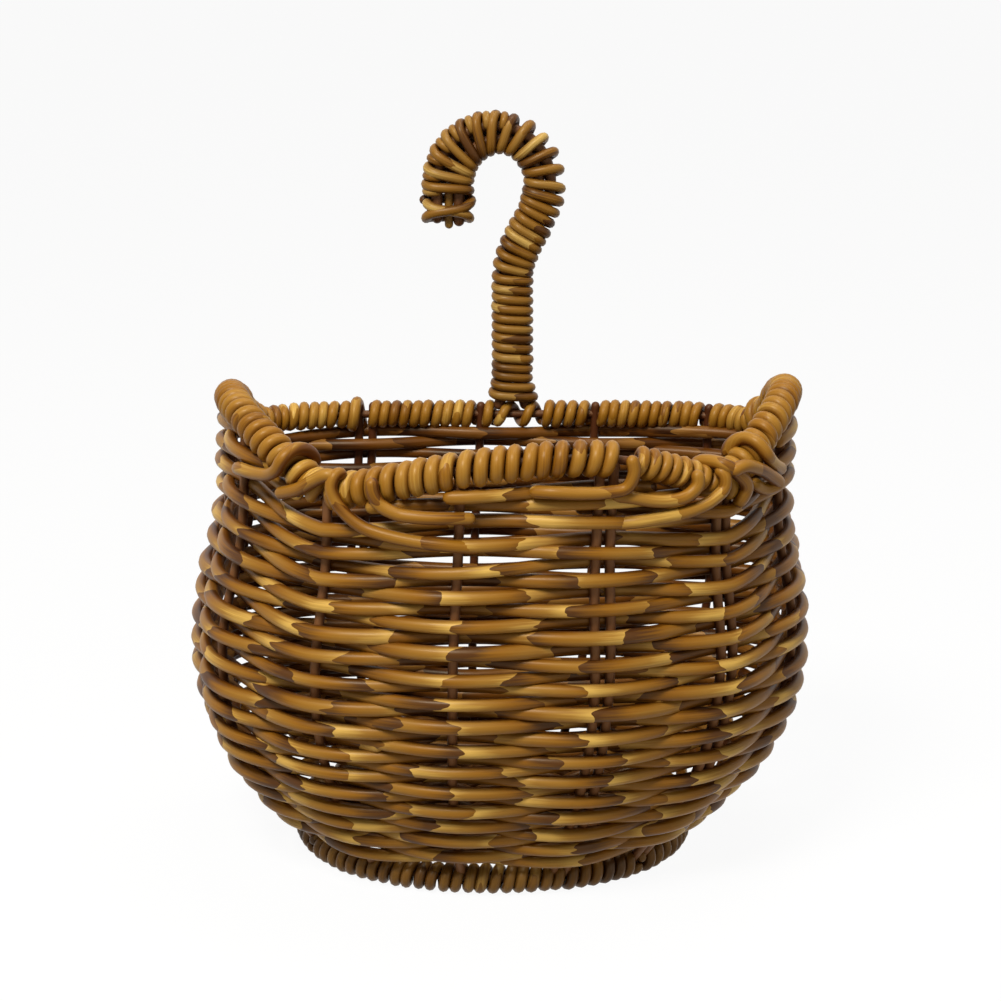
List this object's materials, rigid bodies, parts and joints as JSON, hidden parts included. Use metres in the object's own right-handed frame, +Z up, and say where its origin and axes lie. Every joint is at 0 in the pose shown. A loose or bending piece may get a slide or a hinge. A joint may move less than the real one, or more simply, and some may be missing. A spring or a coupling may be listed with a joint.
{
  "type": "rattan wall basket",
  "caption": "Wicker wall basket with a flat back, a bellied over-under weave, a wavy wound rim, a wound foot ring and a tall wound hook bent over to hang it by.",
  "frame": {"origin": "on the floor under the middle of the whole basket's box", "axes": "+Z up along the hook, +X to the right of someone facing the basket, +Y towards the flat back and the wall"},
  "size_m": [0.3138, 0.2104, 0.3709],
  "materials": {
    "honey_cane": "glossy natural rattan skin",
    "rim_cane": "glossy natural rattan skin",
    "hook_cane": "glossy natural rattan skin",
    "foot_cane": "satin rattan core",
    "brown_stake": "satin reddish-brown round cane"
  },
  "bodies": {
    "root": {"base_stick_1": "brown_stake", "base_stick_2": "brown_stake", "base_stick_3": "brown_stake", "base_stick_4": "brown_stake", "base_stick_5": "brown_stake", "base_weaver": "foot_cane", "foot_rod": "brown_stake", "foot_winding_front": "foot_cane", "foot_winding_left": "foot_cane", "foot_winding_right": "foot_cane", "hook_rod_inner": "brown_stake", "hook_rod_outer": "brown_stake", "hook_tip_tie": "hook_cane", "hook_winding_crook": "hook_cane", "hook_winding_shaft": "hook_cane", "rim_rod": "brown_stake", "rim_winding_back": "rim_cane", "rim_winding_back_left": "rim_cane", "rim_winding_back_right": "rim_cane", "rim_winding_front_left": "rim_cane", "rim_winding_front_right": "rim_cane", "rim_winding_left": "rim_cane", "rim_winding_right": "rim_cane", "stake_01": "brown_stake", "stake_02": "brown_stake", "stake_03": "brown_stake", "stake_04": "brown_stake", "stake_05": "brown_stake", "stake_06": "brown_stake", "stake_07": "brown_stake", "stake_08": "brown_stake", "stake_09": "brown_stake", "stake_10": "brown_stake", "stake_11": "brown_stake", "stake_12": "brown_stake", "stake_13": "brown_stake", "weaver_01": "honey_cane", "weaver_02": "honey_cane", "weaver_03": "honey_cane", "weaver_04": "honey_cane", "weaver_05": "honey_cane", "weaver_06": "honey_cane", "weaver_07": "honey_cane", "weaver_08": "honey_cane", "weaver_09": "honey_cane", "weaver_10": "honey_cane", "weaver_11": "honey_cane", "weaver_12": "honey_cane", "weaver_13": "honey_cane", "weaver_14": "honey_cane", "weaver_15": "honey_cane", "weaver_16": "honey_cane"}
  },
  "joints": []
}
